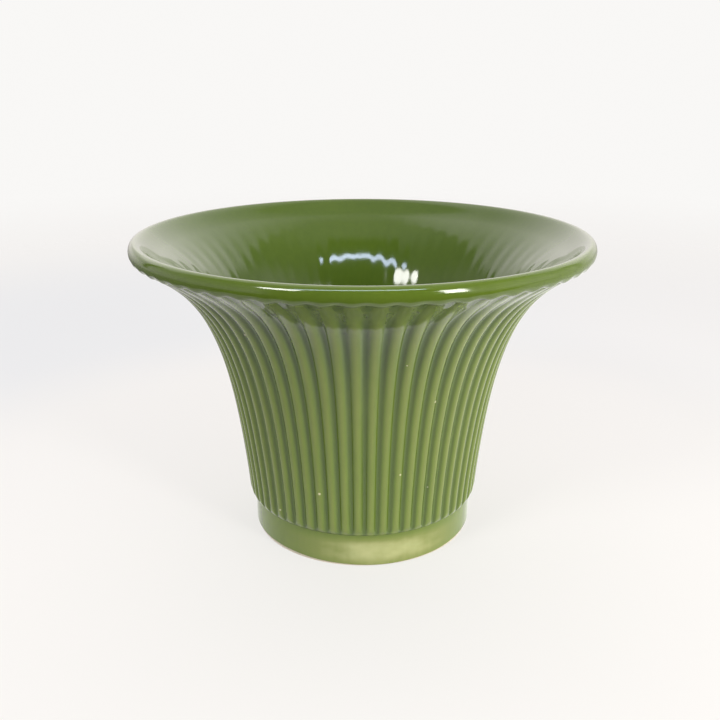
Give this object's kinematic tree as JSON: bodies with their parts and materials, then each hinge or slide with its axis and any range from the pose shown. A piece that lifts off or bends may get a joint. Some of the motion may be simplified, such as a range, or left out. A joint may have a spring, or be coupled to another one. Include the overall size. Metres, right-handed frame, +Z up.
{
  "type": "cachepot",
  "caption": "Flared ceramic cachepot with a fluted wall, a thick rounded rim and a plain foot band, which hides a plant's own nursery pot.",
  "frame": {"origin": "on the pot's axis, on the plane that its foot stands on", "axes": "+Z up along the axis of the pot, -Y towards the side seen in the picture"},
  "size_m": [0.2196, 0.2196, 0.15],
  "materials": {
    "green_glaze": "glossy grass-green glaze over cast earthenware",
    "bare_clay": "matt unglazed buff clay"
  },
  "bodies": {
    "root": {"standing_edge": "bare_clay", "foot_ring": "green_glaze", "floor": "green_glaze", "fluted_wall": "green_glaze", "rim_roll": "green_glaze"}
  },
  "joints": []
}
